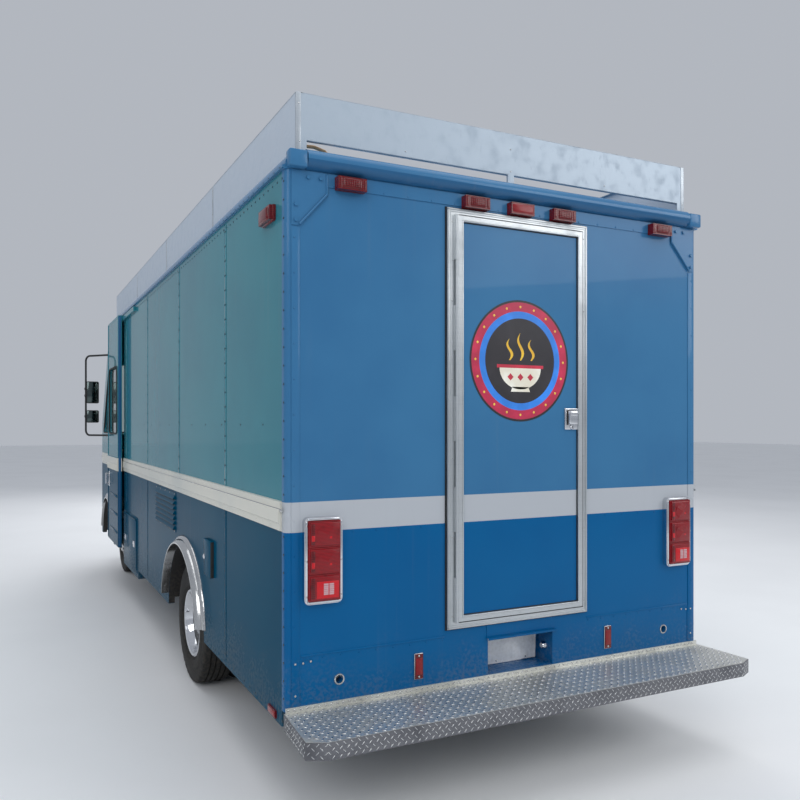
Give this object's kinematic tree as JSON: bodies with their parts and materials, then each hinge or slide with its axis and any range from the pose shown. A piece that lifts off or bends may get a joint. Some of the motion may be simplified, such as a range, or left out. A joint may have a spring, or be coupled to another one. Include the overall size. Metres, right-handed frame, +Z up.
{
  "type": "food truck",
  "caption": "Blue walk-in step van food truck with a sheet-metal roof parapet, rear entry door, step bumper, sliding cab doors, serving hatch and twin rear wheels.",
  "frame": {"origin": "on the ground under the middle of the overall length and width", "axes": "+X to the right-hand side, +Y forward, +Z up"},
  "size_m": [2.912, 7.135, 3.1379],
  "materials": {
    "body_paint": "gloss blue over riveted sheet",
    "belt_paint": "gloss cream white",
    "bare_aluminium": "mill finish",
    "tread_plate": "raised tread plate",
    "stainless": "polished",
    "chrome": "bright",
    "red_lens": "moulded lens",
    "amber_lens": "moulded lens",
    "lamp_glass": "fluted lens",
    "window_glass": "tinted flat glass",
    "chassis_black": "satin black",
    "cast_block": "as cast",
    "pipe_steel": "dull",
    "wheel_steel": "silver",
    "tyre": "matt",
    "floor_sheet": "worn sheet",
    "cab_plastic": "grained",
    "seat_cover": "grained vinyl"
  },
  "bodies": {
    "truck": {"amber_lamps": "amber_lens", "arch_trims": "stainless", "cab_glass": "window_glass", "cab_side_left": "body_paint", "cab_side_right": "body_paint", "cab_upper": "body_paint", "chassis_frame": "chassis_black", "dashboard": "cab_plastic", "engine_block": "cast_block", "exhaust_system": "pipe_steel", "floor": "floor_sheet", "front_axle": "chassis_black", "front_bumper": "chrome", "front_fascia": "body_paint", "fuel_tank": "pipe_steel", "grille": "chrome", "headlamps": "lamp_glass", "leaf_springs": "chassis_black", "left_wall": "body_paint", "mirrors": "chassis_black", "parapet": "bare_aluminium", "partition": "bare_aluminium", "rear_axle": "chassis_black", "rear_bumper": "tread_plate", "rear_door_frame": "bare_aluminium", "rear_roof_rail": "body_paint", "rear_wall": "body_paint", "red_markers": "red_lens", "right_wall": "body_paint", "roof": "body_paint", "roof_fan": "bare_aluminium", "seat_cushions": "seat_cover", "seat_pedestal": "chassis_black", "serving_counter": "stainless", "side_rails": "belt_paint", "side_vent": "body_paint", "steering_wheel": "cab_plastic", "tail_lamp_bezels": "chrome", "tail_lamp_lenses": "red_lens", "utility_box": "body_paint", "wells": "chassis_black"},
    "knuckle_l": {"knuckle_left": "chassis_black"},
    "knuckle_r": {"knuckle_right": "chassis_black"},
    "front_wheel_l": {"front_rim_left": "wheel_steel", "front_tyre_left": "tyre"},
    "front_wheel_r": {"front_rim_right": "wheel_steel", "front_tyre_right": "tyre"},
    "rear_wheels_l": {"rear_rims_left": "wheel_steel", "rear_tyres_left": "tyre"},
    "rear_wheels_r": {"rear_rims_right": "wheel_steel", "rear_tyres_right": "tyre"},
    "cab_door_l": {"cab_door_left": "body_paint", "cab_door_glass_left": "window_glass"},
    "cab_door_r": {"cab_door_right": "body_paint", "cab_door_glass_right": "window_glass"},
    "rear_door_leaf": {"rear_door": "body_paint", "rear_door_edge": "bare_aluminium", "rear_door_latch": "chrome"},
    "hatch": {"serving_hatch": "body_paint"}
  },
  "joints": [
    {"name": "steer_left", "type": "hinge", "parent": "truck", "child": "knuckle_l", "pos_m": [-0.905, 2.6925, 0.386], "axis": [0, 0, 1], "range_deg": [-35, 35]},
    {"name": "steer_right", "type": "hinge", "parent": "truck", "child": "knuckle_r", "pos_m": [0.905, 2.6925, 0.386], "axis": [0, 0, 1], "range_deg": [-35, 35]},
    {"name": "front_spin_left", "type": "hinge", "parent": "knuckle_l", "child": "front_wheel_l", "pos_m": [-0.95, 2.6925, 0.386], "axis": [1, 0, 0], "continuous": true},
    {"name": "front_spin_right", "type": "hinge", "parent": "knuckle_r", "child": "front_wheel_r", "pos_m": [0.95, 2.6925, 0.386], "axis": [1, 0, 0], "continuous": true},
    {"name": "rear_spin_left", "type": "hinge", "parent": "truck", "child": "rear_wheels_l", "pos_m": [-0.955, -1.2975, 0.386], "axis": [1, 0, 0], "continuous": true},
    {"name": "rear_spin_right", "type": "hinge", "parent": "truck", "child": "rear_wheels_r", "pos_m": [0.955, -1.2975, 0.386], "axis": [1, 0, 0], "continuous": true},
    {"name": "cab_door_left_slide", "type": "slide", "parent": "truck", "child": "cab_door_l", "axis": [0, -1, 0], "range_m": [0, 0.7]},
    {"name": "cab_door_right_slide", "type": "slide", "parent": "truck", "child": "cab_door_r", "axis": [0, -1, 0], "range_m": [0, 0.7]},
    {"name": "rear_door_swing", "type": "hinge", "parent": "truck", "child": "rear_door_leaf", "pos_m": [-0.3745, -3.2565, 1.7], "axis": [0, 0, -1], "range_deg": [0, 110]},
    {"name": "serving_hatch_lift", "type": "hinge", "parent": "truck", "child": "hatch", "pos_m": [1.227, -0.6575, 2.476], "axis": [0, -1, 0], "range_deg": [0, 95]}
  ],
  "couplings": [
    {"joint": "steer_right", "follows": "steer_left", "ratio": 1}
  ]
}
